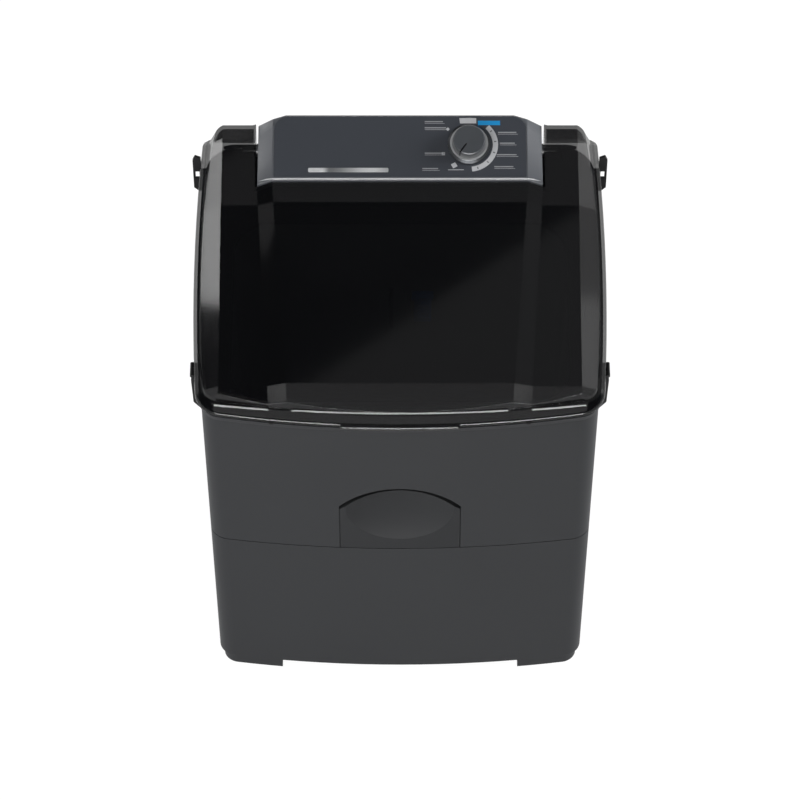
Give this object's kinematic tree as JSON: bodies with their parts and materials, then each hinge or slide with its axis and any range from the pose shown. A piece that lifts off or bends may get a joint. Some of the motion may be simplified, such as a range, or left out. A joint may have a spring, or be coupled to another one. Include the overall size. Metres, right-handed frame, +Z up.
{
  "type": "semi-automatic washing machine",
  "caption": "Free-standing top-loading single-tub washer: bowed two-shell cabinet, smoked faceted hinged lid, slanted timer console, pulsator driven by a belt.",
  "frame": {"origin": "on the floor under the middle of the whole part's box, lugs and drain spigot included", "axes": "+Z up, front with the grip faces -Y, +X to the right as seen from the front"},
  "size_m": [0.508, 0.4116, 0.6123],
  "materials": {
    "charcoal_plastic": "fine matt moulded grain",
    "console_plastic": "satin moulded",
    "fascia_plastic": "satin, slightly blue grey",
    "smoked_plastic": "high gloss, dark smoke tint",
    "bright_trim": "satin bright",
    "knob_plastic": "satin moulded",
    "black_plastic": "matt moulded",
    "tub_plastic": "smooth moulded",
    "pulsator_plastic": "smooth moulded",
    "filter_plastic": "smooth moulded blue",
    "black_rubber": "matt",
    "turned_steel": "turned",
    "cast_alloy": "as cast",
    "bush_bronze": "plain bearing metal",
    "painted_steel": "semi-gloss paint",
    "inner_plastic": "plain moulded"
  },
  "bodies": {
    "cabinet": {"base_skirt": "charcoal_plastic", "upper_cabinet": "charcoal_plastic", "grip_cup": "charcoal_plastic", "top_frame": "charcoal_plastic", "console_housing": "console_plastic", "fascia": "fascia_plastic", "console_trim": "bright_trim", "fascia_bar": "bright_trim", "side_lug_left": "black_plastic", "side_lug_right": "black_plastic", "side_clip_left": "black_plastic", "side_clip_right": "black_plastic", "drain_elbow": "black_plastic", "drain_grille": "black_plastic", "circulation_channel": "black_plastic", "wash_tub": "tub_plastic", "lint_guide": "tub_plastic", "foot_1": "black_rubber", "foot_2": "black_rubber", "foot_3": "black_rubber", "foot_4": "black_rubber", "lid_bumper_left": "black_rubber", "lid_bumper_right": "black_rubber", "cord_gland": "black_rubber", "shaft_seal": "black_rubber", "drive_belt": "black_rubber", "motor_mount_1": "black_rubber", "motor_mount_2": "black_rubber", "motor_mount_3": "black_rubber", "motor_mount_4": "black_rubber", "hinge_pin_left": "turned_steel", "hinge_pin_right": "turned_steel", "capacitor_clip": "turned_steel", "bearing_housing": "cast_alloy", "upper_bush": "bush_bronze", "lower_bush": "bush_bronze", "motor": "painted_steel", "drive_plate": "painted_steel", "capacitor": "inner_plastic", "timer": "inner_plastic"},
    "lid": {"lid": "smoked_plastic"},
    "timer_knob": {"knob": "knob_plastic", "knob_skirt": "bright_trim", "timer_shaft": "turned_steel"},
    "pulsator_group": {"pulsator": "pulsator_plastic", "pulsator_cap": "pulsator_plastic", "pulsator_shaft": "turned_steel", "driven_pulley": "cast_alloy"},
    "motor_rotor": {"motor_shaft": "turned_steel", "motor_fan": "inner_plastic", "motor_pulley": "cast_alloy"},
    "lint_cassette": {"lint_filter": "filter_plastic"}
  },
  "joints": [
    {"name": "lid_hinge", "type": "hinge", "parent": "cabinet", "child": "lid", "pos_m": [0, 0.15275, 0.571], "axis": [-1, 0, 0], "range_deg": [0, 110]},
    {"name": "timer_turn", "type": "hinge", "parent": "cabinet", "child": "timer_knob", "pos_m": [0.0836, 0.14197, 0.5892], "axis": [0, 0.4695, -0.8829], "range_deg": [0, 300]},
    {"name": "pulsator_spin", "type": "hinge", "parent": "cabinet", "child": "pulsator_group", "pos_m": [0, -0.04275, 0.15], "axis": [0, 0, 1], "continuous": true},
    {"name": "motor_spin", "type": "hinge", "parent": "cabinet", "child": "motor_rotor", "pos_m": [0, 0.10725, 0.056], "axis": [0, 0, 1], "continuous": true},
    {"name": "lint_filter_lift", "type": "slide", "parent": "cabinet", "child": "lint_cassette", "axis": [0, 0, 1], "range_m": [0, 0.06]}
  ],
  "couplings": [
    {"joint": "motor_spin", "follows": "pulsator_spin", "ratio": 5.0132}
  ]
}
